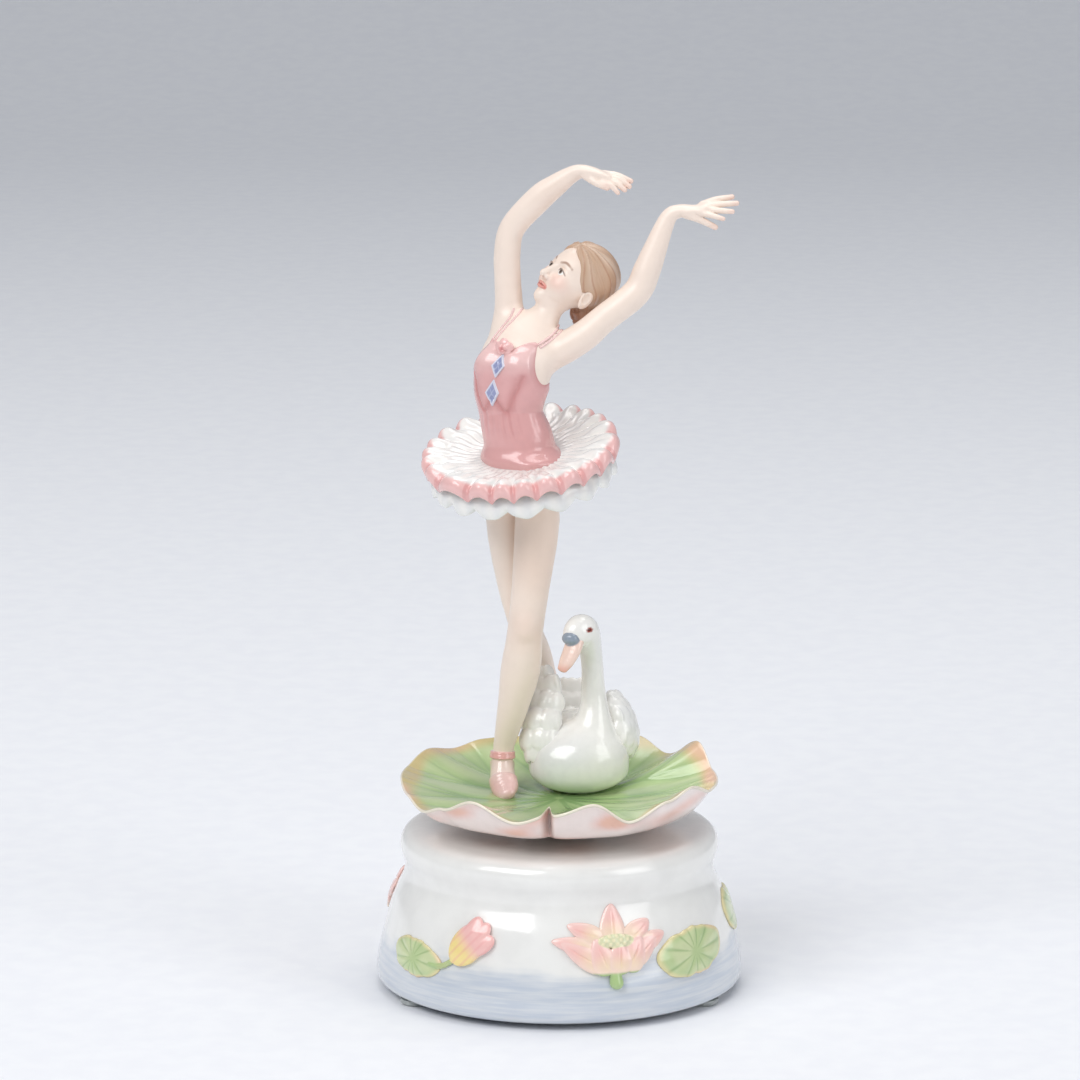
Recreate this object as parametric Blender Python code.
"""Porcelain musical figurine: a ballerina and a swan on a lily pad that turns on a wind-up music base.

Sizes are in millimetres and are turned into metres when a mesh is made. The origin is on the table, on the
turntable's axis; +Z is up and the figurine's front faces -Y.
"""

import math

import bmesh
import bpy
from mathutils import Matrix, Vector

MM = 0.001
GAP = 0.35          # air between two neighbouring pieces

# Driving sizes of the base
BASE_R = 48.5       # widest radius of the porcelain base
FOOT_H = 1.5
SHELL_Z = FOOT_H + 0.3
SHELL_TOP = 42.9
SHELL_WALL = 3.4
SPINDLE_HOLE_R = 5.0

# Driving sizes of the movement
FLOOR_Z = 12.6      # top of the bottom cover's key well
BED_Z = FLOOR_Z + 0.3
BED_T = 2.0
AXIS_Z = 25.0       # height of the pinned cylinder's axis
CROWN_TEETH = 32
CROWN_MODULE = 0.75
PINION_TEETH = 8
WHEEL_TEETH = 28
TRAIN_MODULE = 0.6
WORM_WHEEL_TEETH = 12
WORM_R = 1.8
CROWN_R = CROWN_TEETH * CROWN_MODULE / 2
PINION_R = PINION_TEETH * CROWN_MODULE / 2
WHEEL_R = WHEEL_TEETH * TRAIN_MODULE / 2
TRAIN_PINION_R = PINION_TEETH * TRAIN_MODULE / 2
WORM_WHEEL_R = WORM_WHEEL_TEETH * TRAIN_MODULE / 2
TRAIN_Y = -(WHEEL_R + TRAIN_PINION_R)
WORM_Y = TRAIN_Y - WORM_WHEEL_R - WORM_R
WORM_X = 27.0
CYLINDER_X = (16.0, 31.4)
CYLINDER_R = 5.8
PIN_H = 0.35
ARBOR_R = 0.9

# Driving sizes of the lily pad
LEAF_R = 42.3
LEAF_T = 1.6          # thickness of the pad's rim
LEAF_UNDER_Z = 47.3
LEAF_CENTRE_Z = 50.0
LEAF_RIM_Z = 56.4
LEAF_STEPS = 48
# The rim's wave: (angle from the front, positive to the right, in degrees; height above the mean rim)
RIM_WAVE = [
    (-180, 0.6), (-150, 1.1), (-138, -0.1), (-122, 1.8), (-105, -0.1), (-90, 0.0), (-73, -1.8), (-59, -4.0),
    (-47, -1.6), (-33, 2.0), (-16, -2.4), (-4, -0.4), (12, 2.8), (26, -2.7), (42, 1.1), (55, 3.2), (72, -0.4),
    (88, -0.8), (103, -0.6), (117, 4.8), (136, -1.4), (149, 2.2), (165, -0.4), (180, 0.6),
]

# Tutu frame: its centre on the dancer's axis and the direction its upper side faces
TUTU_C = Vector((-10.1, 9.0, 140.7))
TUTU_N = Vector((-0.125, -0.236, 0.964)).normalized()
TUTU_R = 25.6
HIP_R = 8.9


# ---------------------------------------------------------------- helpers

def material(name, colour, roughness, metallic=0.0, alpha=1.0):
    made = bpy.data.materials.new(name)
    made.use_nodes = True
    shader = made.node_tree.nodes["Principled BSDF"]
    shader.inputs["Base Color"].default_value = (*colour, 1.0)
    shader.inputs["Roughness"].default_value = roughness
    shader.inputs["Metallic"].default_value = metallic
    shader.inputs["Alpha"].default_value = alpha
    return made


def empty(name, at, parent=None):
    made = bpy.data.objects.new(name, None)
    bpy.context.scene.collection.objects.link(made)
    made.parent = parent
    made.location = Vector(at) * MM - (parent.matrix_world.translation if parent else Vector())
    bpy.context.view_layer.update()
    return made


def add_object(name, bm, paint, parent, at=None, smooth=True):
    """Turns a bmesh in world millimetres into an object whose origin is at its parent's, or at the point given."""
    bmesh.ops.recalc_face_normals(bm, faces=bm.faces)
    bmesh.ops.scale(bm, vec=(MM,) * 3, verts=bm.verts)
    origin = Vector(at) * MM if at else parent.matrix_world.translation
    bmesh.ops.translate(bm, vec=-origin, verts=bm.verts)
    mesh = bpy.data.meshes.new(name)
    bm.to_mesh(mesh)
    bm.free()
    if smooth:
        mesh.shade_smooth()
        mesh.set_sharp_from_angle(angle=math.radians(40))
    mesh.materials.append(paint)
    made = bpy.data.objects.new(name, mesh)
    bpy.context.scene.collection.objects.link(made)
    made.parent = parent
    made.location = origin - parent.matrix_world.translation
    return made


def as_cutter(made):
    made.hide_render = True
    made.display_type = "WIRE"
    return made


def carve(target, cutter):
    """Cuts a neighbour's enlarged shape out of a piece, which leaves an even gap between the two."""
    cut = target.modifiers.new("clear_" + cutter.name, "BOOLEAN")
    cut.operation = "DIFFERENCE"
    cut.solver = "EXACT"
    cut.object = cutter
    return target


def turned(profile, steps, closed=True):
    """A profile of (radius, height) turned about Z. An open profile starts and ends on the axis."""
    bm = bmesh.new()
    points = [bm.verts.new((r, 0, z)) for r, z in profile]
    followers = points[1:] + points[:1] if closed else points[1:]
    edges = [bm.edges.new(pair) for pair in zip(points, followers)]
    bmesh.ops.spin(
        bm, geom=points + edges, cent=(0, 0, 0), axis=(0, 0, 1), angle=math.tau, steps=steps, use_merge=True
    )
    bmesh.ops.remove_doubles(bm, verts=bm.verts, dist=1e-4)
    bmesh.ops.dissolve_degenerate(bm, edges=bm.edges, dist=1e-4)
    return bm


def lay_along(bm, axis, at):
    """Turns a bmesh made about Z so that its +Z points along the axis, and moves its origin to a point."""
    turn = Vector((0, 0, 1)).rotation_difference(Vector(axis)).to_matrix().to_4x4()
    bmesh.ops.transform(bm, matrix=Matrix.Translation(at) @ turn, verts=bm.verts)
    return bm


def rod(radius, start, end, steps=12):
    start, end = Vector(start), Vector(end)
    length = (end - start).length
    return lay_along(turned([(0, 0), (radius, 0), (radius, length), (0, length)], steps, False), end - start, start)


def tube(inner, outer, start, end, steps=24):
    start, end = Vector(start), Vector(end)
    length = (end - start).length
    return lay_along(
        turned([(inner, 0), (outer, 0), (outer, length), (inner, length)], steps), end - start, start
    )


def loft(rings):
    """Skins rings of equal point counts one after another and caps both ends."""
    bm = bmesh.new()
    rows = [[bm.verts.new(p) for p in ring] for ring in rings]
    for low, high in zip(rows, rows[1:]):
        for i in range(len(low)):
            j = (i + 1) % len(low)
            bm.faces.new((low[i], low[j], high[j], high[i]))
    bm.faces.new(rows[0])
    bm.faces.new(rows[-1])
    return bm


def oval(centre, side, front, across, deep, steps):
    return [
        Vector(centre) + side * (across * math.cos(a)) + front * (deep * math.sin(a))
        for a in (math.tau * i / steps for i in range(steps))
    ]


def between(stations):
    """The stations with one more midway in each gap, on a smooth curve through their neighbours."""
    rows = [(*centre, across, deep) for centre, across, deep in stations]
    smooth = []
    for i, (here, there) in enumerate(zip(rows, rows[1:])):
        before, after = rows[max(i - 1, 0)], rows[min(i + 2, len(rows) - 1)]
        middle = [(9 * (b + c) - a - d) / 16 for a, b, c, d in zip(before, here, there, after)]
        smooth += [here, middle]
    smooth.append(rows[-1])
    return [(tuple(row[:3]), row[3], row[4]) for row in smooth]


def limb(stations, steps=10, hint=(0, -1, 0), grow=0.0):
    """A body part through stations of (centre, half width, half depth). The width lies across the hint."""
    centres = [Vector(s[0]) for s in stations]
    rings = []
    for i, (_, across, deep) in enumerate(stations):
        along = (centres[min(i + 1, len(centres) - 1)] - centres[max(i - 1, 0)]).normalized()
        front = (Vector(hint) - along * along.dot(Vector(hint))).normalized()
        side = front.cross(along)
        rings.append(oval(centres[i], side, front, across + grow, deep + grow, steps))
    first, last = rings[0], rings[-1]
    start = (centres[0] - centres[1]).normalized()
    end = (centres[-1] - centres[-2]).normalized()
    round_start = 0.35 * stations[0][2]
    round_end = 0.5 * stations[-1][2]
    rings.insert(0, [centres[0] + (p - centres[0]) * 0.6 + start * (round_start + grow) for p in first])
    rings.append([centres[-1] + (p - centres[-1]) * 0.6 + end * (round_end + grow) for p in last])
    return loft(rings)


def slab(outline, low, high):
    """An outline of (x, y) points extruded from one height to another."""
    return loft([[Vector((x, y, low)) for x, y in outline], [Vector((x, y, high)) for x, y in outline]])


def gear_outline(teeth, module, tip=0.72, root=1.05):
    """Radius and angle of the four corners of each tooth; the first tooth is centred on angle 0."""
    pitch = math.tau / teeth
    radius = teeth * module / 2
    corners = []
    for k in range(teeth):
        for share, r in ((-0.22, radius - root * module), (-0.1, radius + tip * module),
                         (0.1, radius + tip * module), (0.22, radius - root * module)):
            corners.append((r, (k + share) * pitch))
    return corners


def gear(teeth, module, bore, width, phase):
    """A spur gear about Z, standing on the XY plane, with a round bore. The phase turns its first tooth."""
    corners = [(r, a + phase) for r, a in gear_outline(teeth, module)]
    bm = bmesh.new()
    rows = []
    for z in (0.0, width):
        rows.append([bm.verts.new((r * math.cos(a), r * math.sin(a), z)) for r, a in corners])
        rows.append([bm.verts.new((bore * math.cos(a), bore * math.sin(a), z)) for _, a in corners])
    low_out, low_in, high_out, high_in = rows
    for i in range(len(corners)):
        j = (i + 1) % len(corners)
        bm.faces.new((low_out[i], low_out[j], high_out[j], high_out[i]))
        bm.faces.new((low_in[j], low_in[i], high_in[i], high_in[j]))
        bm.faces.new((low_in[i], low_in[j], low_out[j], low_out[i]))
        bm.faces.new((high_out[i], high_out[j], high_in[j], high_in[i]))
    return bm


def gear_along_x(teeth, module, bore, x, y, width, phase):
    """A spur gear on an axis parallel to X. Phase 0 puts a tooth towards +Y, and a quarter turn towards +Z."""
    bm = gear(teeth, module, bore, width, phase)
    to_x = Matrix(((0, 0, 1, x), (1, 0, 0, y), (0, 1, 0, AXIS_Z), (0, 0, 0, 1)))
    bmesh.ops.transform(bm, matrix=to_x, verts=bm.verts)
    return bm


# ---------------------------------------------------------------- porcelain base

SHELL_OUTSIDE = [
    (46.9, SHELL_Z), (48.1, 2.6), (BASE_R, 4.6), (48.2, 8.0), (47.4, 11.8), (46.5, 15.2), (45.2, 20.4),
    (43.9, 24.6), (42.4, 27.8), (41.3, 30.2), (40.9, 32.2), (41.1, 34.2), (41.8, 36.4), (42.1, 38.4),
    (41.7, 40.3), (40.4, 41.8), (38.0, 42.6), (33.0, SHELL_TOP),
]


def shell_radius(z):
    """Outer radius of the base at a height, read off its profile."""
    for (r0, z0), (r1, z1) in zip(SHELL_OUTSIDE, SHELL_OUTSIDE[1:]):
        if z0 <= z <= z1:
            return r0 + (r1 - r0) * (z - z0) / (z1 - z0)
    return SHELL_OUTSIDE[0][0]


def base_shell(paint, parent):
    ring_in = 40.2
    inside = [
        (SPINDLE_HOLE_R, SHELL_TOP), (SPINDLE_HOLE_R, SHELL_TOP - SHELL_WALL), (33.0, 39.4), (36.4, 38.9),
        (38.0, 37.4), (37.4, 32.2), (38.4, 28.6), (41.4, 21.0), (43.2, 14.0), (43.6, 8.0), (42.6, 5.4),
        (ring_in, 4.6), (ring_in, SHELL_Z),
    ]
    return add_object("base_shell", turned(SHELL_OUTSIDE + inside, 40), paint, parent)


def on_wall(azimuth, z, out):
    """A point off the base's wall, at an angle in degrees from the front and a height."""
    r = shell_radius(z) + GAP + out
    a = math.radians(azimuth)
    return Vector((r * math.sin(a), -r * math.cos(a), z))


def relief(outline, thickness, azimuth, height, lean=0.0):
    """A raised ornament on the base: an outline of (across, up) points, domed, and laid on the curved wall."""
    turn = math.radians(lean)
    points = [
        (x * math.cos(turn) - y * math.sin(turn), x * math.sin(turn) + y * math.cos(turn)) for x, y in outline
    ]
    bm = bmesh.new()

    def row(share, out):
        return [
            bm.verts.new(on_wall(azimuth + math.degrees(share * x / BASE_R), height + share * y, out))
            for x, y in points
        ]

    inner_back, back = row(0.5, 0.0), row(1.0, 0.0)
    edge, crown = row(1.0, 0.55 * thickness), row(0.6, thickness)
    middle_back = bm.verts.new(on_wall(azimuth, height, 0.0))
    middle_front = bm.verts.new(on_wall(azimuth, height, 0.85 * thickness))
    for i in range(len(points)):
        j = (i + 1) % len(points)
        bm.faces.new((middle_back, inner_back[i], inner_back[j]))
        bm.faces.new((inner_back[i], back[i], back[j], inner_back[j]))
        bm.faces.new((back[i], edge[i], edge[j], back[j]))
        bm.faces.new((edge[i], crown[i], crown[j], edge[j]))
        bm.faces.new((crown[i], middle_front, crown[j]))
    return bm


# Each ornament's outline, across and up from its middle
BLOOM = [(-16.0, 1.6), (-11.6, 3.6), (-11.4, 7.2), (-5.6, 6.6), (-2.4, 7.4), (1.0, 10.8), (4.2, 7.6), (7.6, 6.6),
         (12.2, 6.4), (11.8, 3.8), (16.2, 2.0), (12.6, -1.4), (8.2, -4.2), (2.8, -5.8), (2.6, -9.6), (-1.2, -9.6),
         (-1.6, -5.6), (-6.4, -4.4), (-12.0, -1.6)]
BUD = [(-2.2, -6.6), (-4.2, -2.6), (-4.0, 1.6), (-1.6, 5.4), (1.6, 6.6), (4.2, 5.0), (4.4, 0.4), (2.8, -4.0),
       (0.6, -6.8)]
PAD = [(-13.2, -0.2), (-11.4, 3.1), (-6.8, 5.3), (0.0, 6.0), (6.8, 5.3), (11.4, 3.1), (13.2, -0.2), (11.0, -3.4),
       (6.4, -5.3), (0.0, -6.0), (-6.4, -5.3), (-11.0, -3.4)]
# The stem between a bud and its leaf: angle from the front, and height
STEM = [(-49.0, 14.6), (-44.6, 13.6), (-39.6, 14.0), (-34.6, 16.8)]


def unite(target, helper):
    join = target.modifiers.new("with_" + helper.name, "BOOLEAN")
    join.operation = "UNION"
    join.solver = "EXACT"
    join.object = as_cutter(helper)


def base_ornaments(paints, parent):
    """The lotus blooms, leaves and budding sprigs stuck round the base."""
    for side, azimuth, height in (("front", 17, 20.9), ("left", -112, 23.0)):
        add_object("lotus_bloom_" + side, relief(BLOOM, 2.0, azimuth, height), paints["bloom"], parent)
    for side, azimuth, height, lean in (("front", 49, 16.8, 4), ("right", 91, 20.2, -10), ("back", -153, 18.6, 6)):
        add_object("lotus_leaf_" + side, relief(PAD, 1.4, azimuth, height, lean), paints["leaf"], parent)
    for side, turn in (("front", 0), ("back", 190)):
        sprig = add_object("lotus_sprig_" + side, relief(BUD, 2.0, turn - 31.5, 21.0, -28), paints["bloom"], parent)
        leaf = relief([(0.8 * x, 0.8 * y) for x, y in PAD], 1.4, turn - 53.5, 14.4, -6)
        stem = limb([(on_wall(turn + azimuth, z, 0.9), 0.7, 0.6) for azimuth, z in STEM], 8, (0, 0, 1))
        unite(sprig, add_object("sprig_stem_" + side, stem, paints["leaf"], parent))
        unite(sprig, add_object("sprig_leaf_" + side, leaf, paints["leaf"], parent))


def bottom_cover(paint, parent):
    """The moulded plastic cover that closes the base, with a well for the key and the movement on top of it."""
    rim_r, well_r, wall, flange_z = 39.9, 24.0, 1.6, 2.4
    profile = [
        (3.2, FLOOR_Z), (3.2, FLOOR_Z - wall), (well_r - wall, FLOOR_Z - wall), (well_r - wall, flange_z),
        (rim_r, flange_z), (rim_r, flange_z + wall), (well_r, flange_z + wall), (well_r, FLOOR_Z),
    ]
    return add_object("bottom_cover", turned(profile, 36), paint, parent)


def feet(paint, parent):
    for name, azimuth in (("foot_left", -60), ("foot_right", 60), ("foot_back", 180)):
        at = Matrix.Rotation(math.radians(azimuth), 3, "Z") @ Vector((0, -43.6, 0))
        bm = turned([(0, 0), (3.4, 0), (4.0, 0.5), (4.0, FOOT_H), (0, FOOT_H)], 16, False)
        bmesh.ops.translate(bm, vec=at, verts=bm.verts)
        add_object(name, bm, paint, parent, at)


# ---------------------------------------------------------------- movement, fixed pieces

BED_SCREWS = [(-12.0, 9.0), (12.0, -12.5)]
COMB_SCREWS = [(19.0, 19.4), (28.4, 19.4)]


def screw(name, x, y, head_z, tip_z, head_r, shank_r, paint, parent):
    """A cheese-head screw whose head lies above or below its shank. The shank's end keeps clear of its hole."""
    way = 1 if tip_z < head_z else -1
    head_h = 1.1
    profile = [
        (0, 0), (shank_r, 0), (shank_r, abs(head_z - tip_z)), (head_r, abs(head_z - tip_z)),
        (head_r, abs(head_z - tip_z) + head_h), (0, abs(head_z - tip_z) + head_h),
    ]
    bm = lay_along(turned(profile, 12, False), (0, 0, way), (x, y, tip_z))
    return add_object(name, bm, paint, parent, (x, y, head_z))


def bedplate(paint, parent):
    outline = [(-16, -13), (18, -20), (32, -20), (37, -14), (37, 10), (32, 23.6), (14, 23.6), (-16, 13)]
    plate = add_object("bedplate", slab(outline, BED_Z, BED_Z + BED_T), paint, parent, smooth=False)
    holes = [("arbor", 0, 0, 2.4)] + [("bed_screw_%d" % i, x, y, 1.5) for i, (x, y) in enumerate(BED_SCREWS)]
    for name, x, y, r in holes:
        cutter = add_object("hole_" + name, rod(r, (x, y, 5), (x, y, 20)), paint, parent)
        carve(plate, as_cutter(cutter))
        if name != "arbor":
            carve(bpy.data.objects["bottom_cover"], cutter)
    return plate


def bearing(name, x, y, thickness, half, notch, paint, parent):
    """An upright with an open notch that an arbor parallel to X lies in."""
    low = BED_Z + 0.5 * BED_T - AXIS_Z
    seat = [(notch * math.cos(a), notch * math.sin(a)) for a in (math.pi * k / 4 for k in range(4, 9))]
    outline = [(-half, low), (half, low), (half, 2.2), (notch, 2.2)] + seat[::-1] + [(-notch, 2.2), (-half, 2.2)]
    bm = slab(outline, 0, thickness)
    to_x = Matrix(((0, 0, 1, x), (1, 0, 0, y), (0, 1, 0, AXIS_Z), (0, 0, 0, 1)))
    bmesh.ops.transform(bm, matrix=to_x, verts=bm.verts)
    return add_object(name, bm, paint, parent, smooth=False)


def comb(paint, parent):
    """The steel comb: a plate with one tine for each note of the cylinder."""
    tines, pitch, tine = 18, 0.84, 0.58
    left, tip_y, root_y, back_y = 16.2, CYLINDER_R + PIN_H + 0.3, 15.6, 22.6
    outline = [(left, back_y)]
    for k in range(tines):
        x = left + k * pitch
        outline += [(x, root_y), (x, tip_y), (x + tine, tip_y), (x + tine, root_y)]
    outline.append((left + (tines - 1) * pitch + tine, back_y))
    made = add_object("comb", slab(outline, AXIS_Z - 0.5, AXIS_Z + 0.4), paint, parent, smooth=False)
    block = [(left, 16.6), (left + tines * pitch, 16.6), (left + tines * pitch, back_y), (left, back_y)]
    low, high = BED_Z + BED_T + 0.3, AXIS_Z - 0.8
    support = add_object("comb_block", slab(block, low, high), paint, parent, smooth=False)
    for i, (x, y) in enumerate(COMB_SCREWS):
        cutter = add_object("hole_comb_%d" % i, rod(1.15, (x, y, AXIS_Z - 5.0), (x, y, AXIS_Z + 3)), paint, parent)
        carve(made, as_cutter(cutter))
        carve(support, cutter)
    return made


def governor_frame(paint, parent):
    """The post and arm that carry the worm's upper pivot."""
    low = BED_Z + BED_T + 0.3
    x, y = WORM_X, WORM_Y
    outline = [(-1.0, low), (1.0, low), (1.0, 37.0), (-5.6, 37.0), (-5.6, 35.6), (-1.0, 35.6)]
    bm = slab(outline, -1.2, 1.2)
    to_place = Matrix(((-1, 0, 0, x - 5.8), (0, 0, 1, y), (0, 1, 0, 0), (0, 0, 0, 1)))
    bmesh.ops.transform(bm, matrix=to_place, verts=bm.verts)
    return add_object("governor_frame", bm, paint, parent, smooth=False)


def click(paint, parent):
    """The leaf that stops the ratchet wheel from running back. It stands just clear of the teeth."""
    outline = [(-14.2, 2.6), (-14.2, -2.6), (-10.6, -2.6), (-6.0, -1.2), (-5.8, -0.4), (-10.6, -1.4), (-10.6, 2.6)]
    z = BED_Z + BED_T + 0.3
    return add_object("click", slab(outline, z, z + 1.0), paint, parent, smooth=False)


def movement_frame(paints, parent):
    plate = bedplate(paints["cast"], parent)
    unite(plate, bearing("inner_bearing", 14.2, 0, 1.2, 3.4, 1.2, paints["cast"], parent))
    unite(plate, bearing("outer_bearing", 34.6, 0, 1.2, 3.4, 1.2, paints["cast"], parent))
    comb(paints["steel"], parent)
    governor_frame(paints["brass"], parent)
    click(paints["steel"], parent)
    for i, (x, y) in enumerate(BED_SCREWS):
        screw("bed_screw_%d" % (i + 1), x, y, FLOOR_Z - 1.9, BED_Z + BED_T - 0.4, 2.4, 1.15, paints["steel"], parent)
    for i, (x, y) in enumerate(COMB_SCREWS):
        screw("comb_screw_%d" % (i + 1), x, y, AXIS_Z + 0.7, AXIS_Z - 4.6, 1.7, 0.8, paints["steel"], parent)


# ---------------------------------------------------------------- movement, turning pieces

def pinned_cylinder(paint, parent):
    """The tune cylinder: a tube whose pins are single faces of its wall pulled outwards."""
    around, tracks = 20, 18
    low, high = CYLINDER_X
    bore = ARBOR_R + 0.3
    wall = [(CYLINDER_R, (high - low) * k / tracks) for k in range(tracks + 1)]
    bm = lay_along(turned([(bore, 0)] + wall + [(bore, high - low)], around), (1, 0, 0), (low, 0, AXIS_Z))
    bm.faces.ensure_lookup_table()
    skin = [
        f for f in bm.faces
        if abs(math.hypot(f.calc_center_median().y, f.calc_center_median().z - AXIS_Z) - CYLINDER_R) < 0.2
    ]
    skin.sort(key=lambda f: (round(f.calc_center_median().x, 2), math.atan2(
        f.calc_center_median().z - AXIS_Z, f.calc_center_median().y)))
    pins = [f for i, f in enumerate(skin) if (i * 7 + i // around * 3) % 13 == 0]
    for face in pins:
        out = face.calc_center_median() - Vector((face.calc_center_median().x, 0, AXIS_Z))
        bmesh.ops.inset_individual(bm, faces=[face], thickness=0.28)
        top = bmesh.ops.extrude_discrete_faces(bm, faces=[face])["faces"]
        bmesh.ops.translate(bm, vec=out.normalized() * PIN_H, verts=top[0].verts)
    return add_object("pinned_cylinder", bm, paint, parent)


def cylinder_group(paints, parent):
    pinned_cylinder(paints["brass"], parent)
    add_object("cylinder_arbor", rod(ARBOR_R, (10.85, 0, AXIS_Z), (36.4, 0, AXIS_Z)), paints["steel"], parent)
    bore = ARBOR_R + 0.3
    half = math.pi / PINION_TEETH
    pinion = gear_along_x(PINION_TEETH, CROWN_MODULE, bore, CROWN_R - 1.0, 0, 2.0, -math.pi / 2 + half)
    add_object("cylinder_pinion", pinion, paints["brass"], parent)
    wheel = gear_along_x(WHEEL_TEETH, TRAIN_MODULE, bore, 32.0, 0, 1.4, math.pi)
    add_object("cylinder_wheel", wheel, paints["brass"], parent)


def train_group(paints, parent):
    bore = ARBOR_R - 0.1 + 0.3
    add_object(
        "train_arbor", rod(ARBOR_R - 0.1, (23.4, TRAIN_Y, AXIS_Z), (36.0, TRAIN_Y, AXIS_Z)), paints["steel"], parent
    )
    pinion = gear_along_x(
        PINION_TEETH, TRAIN_MODULE, bore, 31.9, TRAIN_Y, 1.6, math.pi / PINION_TEETH
    )
    add_object("train_pinion", pinion, paints["brass"], parent)
    wheel = gear_along_x(
        WORM_WHEEL_TEETH, TRAIN_MODULE, bore, WORM_X - 0.5, TRAIN_Y, 1.0, math.pi + math.pi / WORM_WHEEL_TEETH
    )
    add_object("worm_wheel", wheel, paints["plastic"], parent)


def worm(paint, parent):
    """A single-start worm on its shaft: a cylinder's wall with the thread's ridge wound round it."""
    lead = math.pi * TRAIN_MODULE
    around, per_lead, turns = 12, 8, 3.5
    core, crest, shaft_r, shaft_end = WORM_R - 0.75, WORM_R + 0.4, 0.7, 35.2

    def radius(z, a):
        share = ((z - AXIS_Z) / lead - (a - math.pi / 2) / math.tau + 0.5) % 1.0 - 0.5
        return core + (crest - core) * max(0.0, min(1.0, (0.27 - abs(share)) / 0.12))

    low = AXIS_Z - turns / 2 * lead
    angles = [math.tau * i / around for i in range(around)]
    heights = [low + lead * k / per_lead for k in range(int(turns * per_lead) + 1)]
    rings = [[Vector((shaft_r * math.cos(a), shaft_r * math.sin(a), low - 1.6)) for a in angles]]
    rings.append([Vector((p.x, p.y, low - 0.2)) for p in rings[0]])
    for z in heights:
        rings.append([Vector((radius(z, a) * math.cos(a), radius(z, a) * math.sin(a), z)) for a in angles])
    rings.append([Vector((p.x, p.y, heights[-1] + 0.2)) for p in rings[0]])
    rings.append([Vector((p.x, p.y, shaft_end)) for p in rings[0]])
    bm = loft(rings)
    bmesh.ops.translate(bm, vec=(WORM_X, WORM_Y, 0), verts=bm.verts)
    return add_object("governor_worm", bm, paint, parent)


def governor_fan(paint, parent):
    """The air brake: a hub with two flat vanes."""
    bm = tube(1.0, 1.7, (WORM_X, WORM_Y, 30.0), (WORM_X, WORM_Y, 33.8), 12)
    fan = add_object("governor_fan", bm, paint, parent)
    for side in (-1, 1):
        x0, x1 = sorted((WORM_X + side * 1.4, WORM_X + side * 4.2))
        outline = [(x0, WORM_Y - 0.4), (x1, WORM_Y - 0.4), (x1, WORM_Y + 0.4), (x0, WORM_Y + 0.4)]
        unite(fan, add_object("vane_%d" % side, slab(outline, 30.4, 33.4), paint, parent))
    return fan


def crown_wheel(paint, parent):
    """A ring with teeth standing on its upper face, which drives the cylinder's pinion at a right angle."""
    half_width = 1.0
    inner, outer = CROWN_R - half_width, CROWN_R + half_width
    pitch_z = AXIS_Z - PINION_R
    low, root, tip = pitch_z - 2.4, pitch_z - 0.85, pitch_z + 0.52
    pitch = math.tau / CROWN_TEETH
    bm = bmesh.new()
    rows = []
    for k in range(CROWN_TEETH):
        for share, top in ((-0.2, root), (-0.1, tip), (0.1, tip), (0.2, root)):
            a = (k + share) * pitch
            c, s = math.cos(a), math.sin(a)
            rows.append([bm.verts.new((r * c, r * s, z)) for r, z in (
                (inner, low), (outer, low), (outer, top), (inner, top))])
    for here, there in zip(rows, rows[1:] + rows[:1]):
        for i in range(4):
            j = (i + 1) % 4
            bm.faces.new((here[i], here[j], there[j], there[i]))
    return add_object("crown_wheel", bm, paint, parent)


def mainspring(paint, parent):
    """The spiral spring, from the arbor's hook out to the barrel's wall."""
    turns, per_turn, thickness = 4, 14, 0.35
    start_r, end_r, low, high = 2.6, 8.9, 17.8, 28.6
    rings = []
    for k in range(turns * per_turn + 1):
        a = math.tau * k / per_turn
        r = start_r + (end_r - start_r) * k / (turns * per_turn)
        c, s = math.cos(a), math.sin(a)
        corners = ((r, low), (r + thickness, low), (r + thickness, high), (r, high))
        rings.append([Vector((radius * c, radius * s, z)) for radius, z in corners])
    return add_object("mainspring", loft(rings), paint, parent)


def barrel_group(paints, parent):
    """The spring barrel and all that turns with it up to the hub under the lily pad."""
    drum = [(0, 29.8), (9.6, 29.8), (9.6, 16.4), (10.5, 16.4), (10.5, 31.0), (0, 31.0)]
    add_object("spring_barrel", turned(drum, 28, False), paints["brass"], parent)
    add_object("barrel_lid", tube(2.2, 9.2, (0, 0, 16.4), (0, 0, 17.4)), paints["brass"], parent)
    crown_wheel(paints["brass"], parent)
    mainspring(paints["steel"], parent)
    add_object("spindle", rod(2.0, (0, 0, 31.3), (0, 0, 46.2), 16), paints["steel"], parent)
    hub = [(2.4, 39.0), (3.6, 39.0), (3.6, 46.2), (9.0, 46.6), (9.0, 47.0), (2.4, 47.0)]
    add_object("turntable_hub", turned(hub, 24), paints["hub"], parent)


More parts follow.
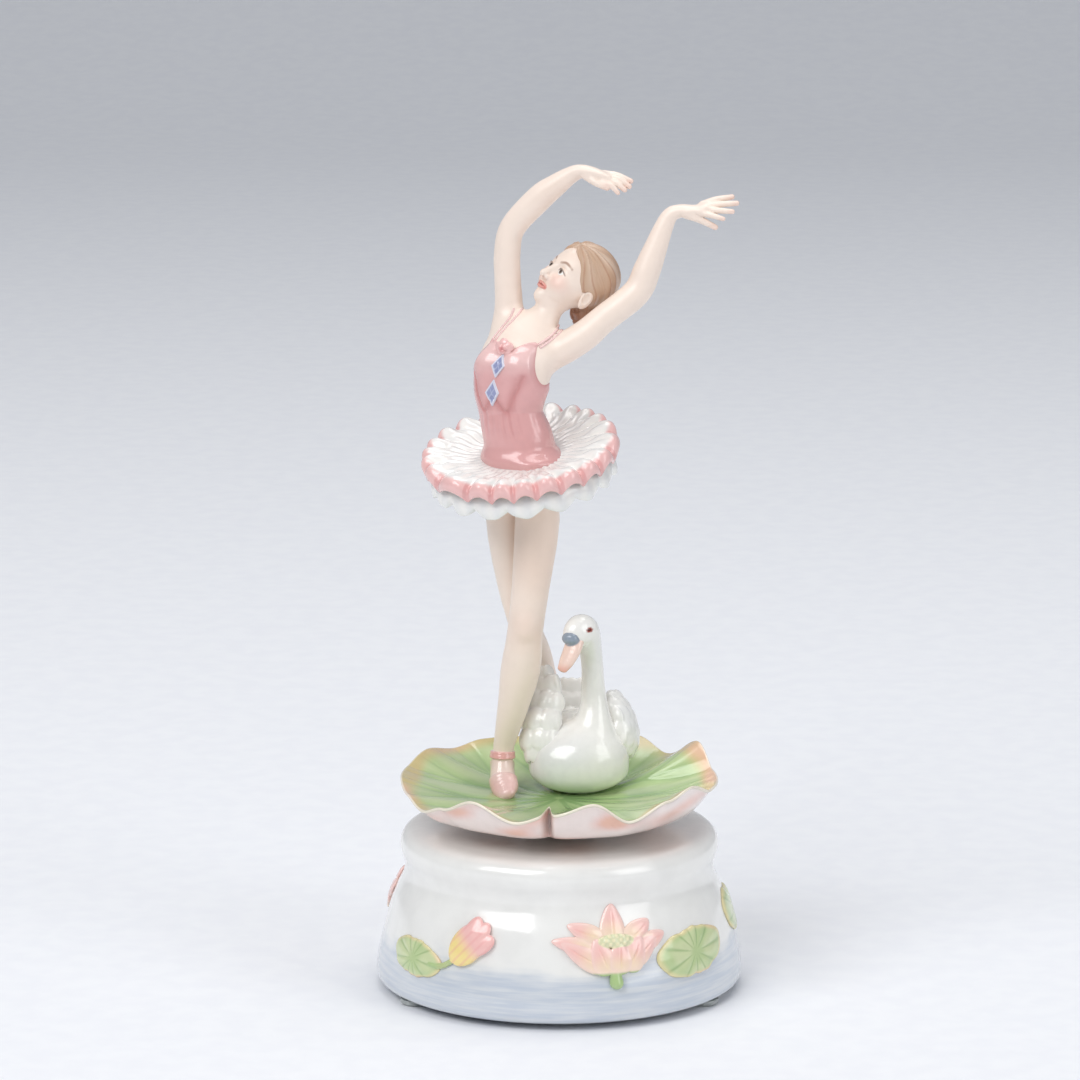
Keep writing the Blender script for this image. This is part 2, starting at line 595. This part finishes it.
def key_group(paints, parent):
    """The winding key with its arbor and ratchet wheel."""
    arbor_top = 29.2
    arbor = [(0, 8.0), (1.5, 8.0), (1.5, arbor_top), (0, arbor_top)]
    add_object("winding_arbor", turned(arbor, 12, False), paints["steel"], parent)
    ratchet = gear(12, 0.8, 1.8, 1.0, 0.0)
    bmesh.ops.translate(ratchet, vec=(0, 0, BED_Z + BED_T + 0.3), verts=ratchet.verts)
    add_object("ratchet_wheel", ratchet, paints["steel"], parent)
    hub = turned([(1.8, 3.6), (3.4, 3.6), (3.4, 10.4), (2.9, 10.6), (1.8, 10.6)], 20)
    key = add_object("winding_key", hub, paints["brass"], parent)
    for name, side in (("a", 1), ("b", -1)):
        wing = [(1.9 * side, 4.2), (8.0 * side, 3.0), (13.0 * side, 3.4), (15.0 * side, 5.6), (13.6 * side, 8.0),
                (8.6 * side, 8.6), (1.9 * side, 7.8)]
        bm = slab(wing, -0.9, 0.9)
        bmesh.ops.transform(bm, matrix=Matrix(((1, 0, 0, 0), (0, 0, 1, 0), (0, 1, 0, 0), (0, 0, 0, 1))), verts=bm.verts)
        unite(key, add_object("key_wing_" + name, bm, paints["brass"], parent))


# ---------------------------------------------------------------- lily pad

def rim_height(azimuth):
    """Height of the lily pad's rim at an angle in degrees: the wave's points joined by smooth steps."""
    azimuth = (azimuth + 180) % 360 - 180
    for (a0, h0), (a1, h1) in zip(RIM_WAVE, RIM_WAVE[1:]):
        if a0 <= azimuth <= a1:
            t = (azimuth - a0) / (a1 - a0)
            return LEAF_RIM_Z + h0 + (h1 - h0) * t * t * (3 - 2 * t)
    return LEAF_RIM_Z


def leaf_height(azimuth, share):
    """Height of the pad's upper side at a share of the way from its middle to its rim."""
    bowl = share ** 2.4
    return LEAF_CENTRE_Z + (rim_height(azimuth) - LEAF_CENTRE_Z) * bowl


def leaf_underside(azimuth, share):
    """Height of the pad's underside: flat in the middle, then up to a thin rim."""
    rise = min(max((share - 0.74) / 0.26, 0), 1)
    rise = (rise * rise * (3 - 2 * rise)) ** 1.5
    above = leaf_height(azimuth, share) - LEAF_T
    return min(above, LEAF_UNDER_Z + (above - LEAF_UNDER_Z) * rise)


def leaf_solid(lift=0.0, clearance=0.0):
    """The pad, or with a clearance the room it needs: its upper side lifted, and a slab of that depth under it."""
    shares = (0.2, 0.42, 0.6, 0.74, 0.84, 0.92, 1.0)
    bm = bmesh.new()

    def row(share, below):
        points = []
        for k in range(LEAF_STEPS):
            azimuth = 360 * k / LEAF_STEPS
            a = math.radians(azimuth)
            notch = 1.6 * math.exp(-(((azimuth + 5 + 180) % 360 - 180) / 4.0) ** 2)
            r = (LEAF_R - notch) * share - (0.6 if below and share == 1.0 else 0.0)
            z = leaf_height(azimuth, share) + lift
            if below:
                z = z - clearance if clearance else leaf_underside(azimuth, share)
            points.append(bm.verts.new((r * math.sin(a), -r * math.cos(a), z)))
        return points

    top = [row(share, False) for share in shares]
    under = [row(share, True) for share in shares]
    low = LEAF_CENTRE_Z + lift - clearance if clearance else LEAF_UNDER_Z
    centre = bm.verts.new((0, 0, LEAF_CENTRE_Z + lift))
    centre_under = bm.verts.new((0, 0, low))
    for k in range(LEAF_STEPS):
        j = (k + 1) % LEAF_STEPS
        bm.faces.new((centre, top[0][k], top[0][j]))
        bm.faces.new((centre_under, under[0][j], under[0][k]))
        bm.faces.new((top[-1][k], under[-1][k], under[-1][j], top[-1][j]))
        for inner, outer in zip(top, top[1:]):
            bm.faces.new((inner[k], outer[k], outer[j], inner[j]))
        for inner, outer in zip(under, under[1:]):
            bm.faces.new((inner[j], outer[j], outer[k], inner[k]))
    return bm


def lily_pad(paint, parent):
    add_object("lily_pad", leaf_solid(), paint, parent)
    return as_cutter(add_object("lily_pad_clearance", leaf_solid(GAP, 6.0), paint, parent))


# ---------------------------------------------------------------- ballerina

FACING = Vector((-0.47, -0.88, 0.0))         # the way the dancer's chest faces
CHEST_SIDE = Vector((0.88, -0.47, 0.0))      # towards the dancer's left
TORSO = [
    ((-9.6, 9.8, 137.6), 8.2, 7.6), ((-10.1, 9.0, 140.7), HIP_R, 8.4), ((-10.8, 8.6, 145.0), 8.8, 7.8),
    ((-12.2, 8.6, 149.4), 8.2, 6.8), ((-12.8, 9.0, 153.0), 8.2, 6.4), ((-12.9, 9.0, 158.0), 9.4, 7.2),
    ((-11.9, 9.2, 163.2), 10.2, 7.6), ((-10.2, 10.2, 167.8), 10.0, 7.4), ((-8.6, 11.2, 171.4), 8.4, 6.0),
    ((-6.2, 12.6, 173.8), 4.4, 3.8),
]
NECK = [((-7.2, 11.8, 170.6), 5.0, 4.2), ((-4.6, 13.0, 175.2), 3.9, 3.6), ((-1.6, 14.5, 180.6), 3.5, 3.6)]
HEAD_C = Vector((3.6, 16.2, 185.4))
HEAD_UP = Vector((0.62, 0.14, 0.77)).normalized()      # from the chin to the crown
HAIR_C = HEAD_C + Vector((3.8, 2.3, -1.2))
FRONT_LEG = [
    ((-6.6, 7.6, 136.2), 5.0, 5.0), ((-5.8, 6.4, 124.0), 5.9, 5.6), ((-7.6, 4.8, 106.0), 5.0, 5.0),
    ((-9.0, 4.0, 94.5), 4.7, 4.6), ((-10.2, 4.8, 84.0), 5.0, 4.8), ((-12.6, 5.8, 72.0), 3.9, 3.9),
    ((-14.6, 7.2, 63.0), 2.8, 2.9), ((-14.9, 7.6, 58.6), 2.8, 2.9),
]
REAR_LEG = [
    ((-12.6, 12.4, 136.4), 4.6, 4.6), ((-14.6, 14.2, 123.6), 4.9, 4.9), ((-12.2, 15.2, 106.0), 4.5, 4.5),
    ((-9.4, 15.0, 94.5), 4.2, 4.2), ((-7.0, 21.6, 84.0), 4.4, 4.2), ((-3.0, 29.0, 74.0), 3.2, 3.2),
    ((0.2, 33.0, 67.4), 2.5, 2.6), ((0.8, 34.2, 63.6), 2.4, 2.5),
]
FRONT_SLIPPER = [
    ((-15.0, 7.6, 60.4), 3.1, 3.5), ((-15.1, 7.2, 56.8), 3.5, 4.4), ((-14.9, 4.6, 53.8), 3.8, 3.8),
    ((-14.2, 1.4, 52.2), 3.6, 2.6), ((-13.8, -0.9, 51.4), 2.5, 1.7),
]
REAR_SLIPPER = [
    ((0.7, 33.8, 65.4), 2.8, 2.9), ((1.0, 34.6, 61.4), 2.9, 3.1), ((0.8, 35.2, 57.4), 2.6, 2.8),
    ((0.6, 35.6, 54.6), 2.1, 2.2),
]
RIGHT_ARM = [
    ((-12.6, 13.6, 167.4), 3.8, 3.6), ((-13.6, 15.8, 172.6), 4.2, 4.0), ((-13.3, 17.0, 179.3), 3.7, 3.7),
    ((-13.6, 17.4, 186.1), 3.5, 3.5), ((-12.9, 17.9, 198.0), 3.4, 3.4), ((-5.4, 16.8, 207.5), 3.5, 3.5),
    ((2.6, 14.6, 213.8), 2.5, 2.3), ((8.0, 13.2, 215.0), 2.8, 1.7), ((12.4, 12.0, 213.6), 3.0, 1.4),
    ((17.6, 11.0, 212.0), 1.6, 0.9),
]
LEFT_ARM = [
    ((-5.4, 10.4, 165.4), 3.4, 3.4), ((0.2, 8.6, 168.6), 4.4, 4.1), ((6.7, 8.0, 172.8), 4.3, 4.0),
    ((11.6, 8.6, 177.0), 3.8, 3.7), ((20.2, 10.0, 183.8), 3.7, 3.7), ((24.8, 11.3, 194.4), 3.1, 3.1),
    ((28.6, 12.0, 203.2), 2.3, 2.2), ((34.6, 11.3, 205.0), 2.7, 1.6), ((39.4, 10.2, 206.0), 2.7, 1.4),
    ((44.6, 9.6, 207.4), 1.6, 0.9),
]


def tutu_tier(name, profile, scallops, wave, paint, parent):
    """One gathered ring of the skirt: a turned profile whose outer edge waves up and down."""
    bm = turned(profile, 44)
    for v in bm.verts:
        reach = max(0.0, (v.co.xy.length - 16.0) / (TUTU_R - 16.0))
        v.co.z += wave * reach ** 2 * math.sin(scallops * math.atan2(v.co.y, v.co.x))
    lay_along(bm, TUTU_N, TUTU_C)
    return add_object(name, bm, paint, parent)


def tutu(paints, parent):
    hole = HIP_R + 0.9
    upper = [
        (hole, -0.6), (hole, 0.9), (16.6, 1.6), (22.2, 3.0), (25.0, 2.6), (26.2, 0.8), (26.0, -1.2), (25.0, -1.2),
        (24.2, 0.6), (21.8, 1.3), (16.0, 0.2),
    ]
    lower = [
        (hole, -3.2), (hole, -1.2), (16.0, -0.9), (21.4, -0.1), (23.6, -1.2), (24.4, -3.4), (23.9, -6.4),
        (22.9, -6.4), (23.1, -3.6), (21.0, -1.9), (16.0, -2.7),
    ]
    tutu_tier("tutu_skirt", upper, 11, 0.5, paints["skirt"], parent)
    tutu_tier("tutu_petticoat", lower, 11, 0.5, paints["white"], parent)


def head(paints, parent):
    """A plain egg for the head and a larger one behind it for the hair; the chin points down along -HEAD_UP."""
    skull_radii = (7.3, 8.2, 10.0)
    bm = bmesh.new()
    bmesh.ops.create_icosphere(bm, subdivisions=3, radius=1.0)
    bmesh.ops.scale(bm, vec=skull_radii, verts=bm.verts)
    lay_along(bm, HEAD_UP, HEAD_C)
    skull = add_object("head", bm, paints["skin"], parent)

    def hair_mass(name, grow):
        mass = bmesh.new()
        bmesh.ops.create_icosphere(mass, subdivisions=3, radius=1.0)
        bmesh.ops.scale(mass, vec=(7.9 + grow, 8.6 + grow, 8.9 + grow), verts=mass.verts)
        lay_along(mass, HEAD_UP, HAIR_C)
        return add_object(name, mass, paints["hair"], parent)

    hair = hair_mass("hair", 0.0)
    carve(skull, as_cutter(hair_mass("hair_clearance", 0.0)))
    skull_room = bmesh.new()
    bmesh.ops.create_icosphere(skull_room, subdivisions=3, radius=1.0)
    bmesh.ops.scale(skull_room, vec=[r + GAP for r in skull_radii], verts=skull_room.verts)
    lay_along(skull_room, HEAD_UP, HEAD_C)
    return hair, as_cutter(add_object("head_clearance", skull_room, paints["skin"], parent))


def ballerina(paints, parent, pad_clearance):
    def body(name, stations, paint, steps, hint):
        stations = between(stations)
        made = add_object(name, limb(stations, steps, hint), paints[paint], parent)
        room = as_cutter(add_object(name + "_clearance", limb(stations, steps, hint, GAP), paints[paint], parent))
        return made, room

    _, torso_room = body("torso", TORSO, "bodice", 20, FACING)
    neck, _ = body("neck", NECK, "skin", 12, FACING)
    hair, head_room = head(paints, parent)
    right_arm, _ = body("right_arm", RIGHT_ARM, "skin", 10, (0, -1, 0))
    left_arm, left_arm_room = body("left_arm", LEFT_ARM, "skin", 10, (0, -1, 0))
    front_leg, front_leg_room = body("front_leg", FRONT_LEG, "skin", 12, (0, -1, 0))
    rear_leg, _ = body("rear_leg", REAR_LEG, "skin", 12, (0, -1, 0.01))
    front_slipper, front_room = body("front_slipper", FRONT_SLIPPER, "pink", 12, (0, -1, 0.01))
    rear_slipper, rear_room = body("rear_slipper", REAR_SLIPPER, "pink", 12, (0, -1, 0.01))
    for piece in (neck, right_arm, left_arm, front_leg, rear_leg):
        carve(piece, torso_room)
    carve(neck, head_room)
    carve(neck, left_arm_room)
    carve(hair, head_room)
    carve(hair, left_arm_room)
    carve(rear_leg, front_leg_room)
    carve(front_leg, front_room)
    carve(rear_leg, rear_room)
    carve(front_slipper, pad_clearance)
    carve(rear_slipper, pad_clearance)
    tutu(paints, parent)
    carve(rosette(paints["pink"], parent), torso_room)
    carve(jewels(paints["blue"], parent), torso_room)


def on_bodice(across, up, out):
    """A point on the front of the bodice: across its middle line, at a height, and off its surface."""
    for (low, _, deep_low), (high, _, deep_high) in zip(TORSO, TORSO[1:]):
        if low[2] <= up <= high[2]:
            t = (up - low[2]) / (high[2] - low[2])
            centre = Vector(low).lerp(Vector(high), t)
            deep = deep_low + (deep_high - deep_low) * t
            return centre + CHEST_SIDE * across + FACING * (deep + out)
    return Vector(TORSO[-1][0])


def rosette(paint, parent):
    bm = bmesh.new()
    bmesh.ops.create_icosphere(bm, subdivisions=2, radius=1.9)
    bmesh.ops.translate(bm, vec=on_bodice(-0.6, 170.4, 1.2), verts=bm.verts)
    return add_object("rosette", bm, paint, parent)


def jewels(paint, parent):
    """The two lozenges on the bodice, joined at their points."""
    outline = [(-0.9, 169.1), (1.1, 165.7), (-0.5, 162.5), (0.9, 158.4), (-1.3, 154.8), (-3.5, 158.4), (-1.7, 162.5),
               (-2.9, 165.7)]
    bm = loft([[on_bodice(x, z, out) for x, z in outline] for out in (-1.2, 1.1)])
    return add_object("bodice_jewels", bm, paint, parent, smooth=False)


# ---------------------------------------------------------------- swan

SWAN_BODY = [
    ((5.8, 3.4, 58.0), 8.4, 5.4), ((5.4, 6.4, 58.6), 12.4, 8.2), ((5.2, 11.0, 59.4), 13.4, 9.2),
    ((5.0, 16.4, 60.4), 12.4, 9.2), ((4.6, 20.6, 62.2), 9.0, 7.0), ((4.2, 23.6, 65.8), 6.4, 3.8),
    ((4.1, 25.0, 70.4), 5.0, 2.1), ((4.1, 25.9, 75.4), 2.8, 1.1),
]
SWAN_NECK = [
    ((7.4, 7.8, 61.4), 7.8, 7.0), ((8.9, 8.6, 66.4), 5.6, 5.6), ((9.2, 9.6, 72.4), 3.8, 3.9),
    ((9.0, 10.0, 78.4), 3.1, 3.2), ((8.7, 9.6, 84.4), 2.9, 3.0), ((8.0, 8.4, 89.4), 3.2, 3.4),
    ((6.4, 6.2, 93.6), 4.3, 4.0), ((4.2, 3.6, 93.4), 3.2, 2.8),
]
SWAN_BEAK = [((4.2, 3.0, 92.0), 2.7, 1.9), ((3.4, 1.7, 89.8), 2.7, 1.6), ((2.0, 0.6, 87.0), 2.35, 1.2),
             ((0.8, -0.1, 85.0), 1.5, 0.8)]
LEFT_WING = [
    ((-4.9, 6.4, 60.0), 3.6, 2.2), ((-5.0, 7.0, 62.4), 4.9, 3.0), ((-4.9, 8.4, 67.0), 5.2, 3.2),
    ((-4.2, 10.5, 71.6), 4.9, 2.9), ((-3.4, 12.5, 75.8), 4.3, 2.3), ((-4.6, 14.8, 81.0), 1.6, 1.0),
]
RIGHT_WING = [
    ((18.2, 10.6, 60.6), 3.0, 1.9), ((18.6, 12.0, 63.4), 4.6, 2.5), ((18.0, 13.8, 67.2), 5.0, 2.6),
    ((16.2, 15.8, 71.0), 4.0, 2.1), ((14.4, 16.8, 73.8), 2.0, 1.2),
]


def swan(paints, parent, pad_clearance):
    def piece(name, stations, paint, hint, steps=12):
        stations = between(stations)
        made = add_object(name, limb(stations, steps, hint), paints[paint], parent)
        return made, as_cutter(
            add_object(name + "_clearance", limb(stations, steps, hint, GAP), paints[paint], parent)
        )

    body, body_room = piece("swan_body", SWAN_BODY, "white", (0, 0, -1), 18)
    neck, neck_room = piece("swan_neck", SWAN_NECK, "white", (0.2, -1, 0), 12)
    beak, _ = piece("swan_beak", SWAN_BEAK, "beak", (-0.5, -0.8, 0.3), 10)
    carve(body, pad_clearance)
    carve(neck, body_room)
    carve(beak, neck_room)
    wings = (("swan_right_wing", LEFT_WING, (-0.4, -1, 0.3)), ("swan_left_wing", RIGHT_WING, (1, -0.45, 0.1)))
    for name, stations, hint in wings:
        wing, _ = piece(name, stations, "white", hint)
        carve(wing, body_room)
        carve(wing, pad_clearance)


# ---------------------------------------------------------------- the whole object

def main():
    for obj in list(bpy.data.objects):
        bpy.data.objects.remove(obj)
    paints = {
        "porcelain": material("white_porcelain", (0.86, 0.86, 0.84), 0.12),
        "white": material("white_glaze", (0.88, 0.88, 0.86), 0.14),
        "skin": material("skin_glaze", (0.87, 0.79, 0.71), 0.18),
        "bodice": material("rose_glaze", (0.76, 0.45, 0.45), 0.18),
        "skirt": material("white_and_pink_glaze", (0.93, 0.82, 0.81), 0.16),
        "pink": material("pink_glaze", (0.90, 0.62, 0.60), 0.18),
        "blue": material("lavender_enamel", (0.50, 0.53, 0.70), 0.25),
        "hair": material("brown_glaze", (0.62, 0.45, 0.35), 0.2),
        "beak": material("beak_glaze", (0.92, 0.74, 0.66), 0.2),
        "leaf": material("green_glaze", (0.56, 0.68, 0.42), 0.22),
        "bloom": material("lotus_glaze", (0.93, 0.70, 0.66), 0.2),
        "plastic": material("moulded_plastic", (0.85, 0.84, 0.80), 0.45),
        "clear": material("clear_rubber", (0.86, 0.87, 0.86), 0.2, 0.0, 0.5),
        "cast": material("cast_zinc", (0.62, 0.62, 0.63), 0.45, 0.9),
        "steel": material("steel", (0.66, 0.66, 0.68), 0.3, 1.0),
        "brass": material("brass", (0.78, 0.62, 0.32), 0.3, 1.0),
        "hub": material("dark_metal", (0.25, 0.22, 0.20), 0.35, 0.9),
    }
    base = empty("base", (0, 0, 0))
    turntable = empty("turntable_axis", (0, 0, 0), base)
    key = empty("key_axis", (0, 0, 0), base)
    cylinder = empty("cylinder_axis", (0, 0, AXIS_Z), base)
    train = empty("train_axis", (0, TRAIN_Y, AXIS_Z), base)
    governor = empty("governor_axis", (WORM_X, WORM_Y, 0), base)

    base_shell(paints["porcelain"], base)
    base_ornaments(paints, base)
    bottom_cover(paints["plastic"], base)
    feet(paints["clear"], base)
    movement_frame(paints, base)
    cylinder_group(paints, cylinder)
    train_group(paints, train)
    worm(paints["steel"], governor)
    governor_fan(paints["plastic"], governor)
    key_group(paints, key)
    barrel_group(paints, turntable)
    pad_clearance = lily_pad(paints["leaf"], turntable)
    ballerina(paints, turntable, pad_clearance)
    swan(paints, turntable, pad_clearance)


main()
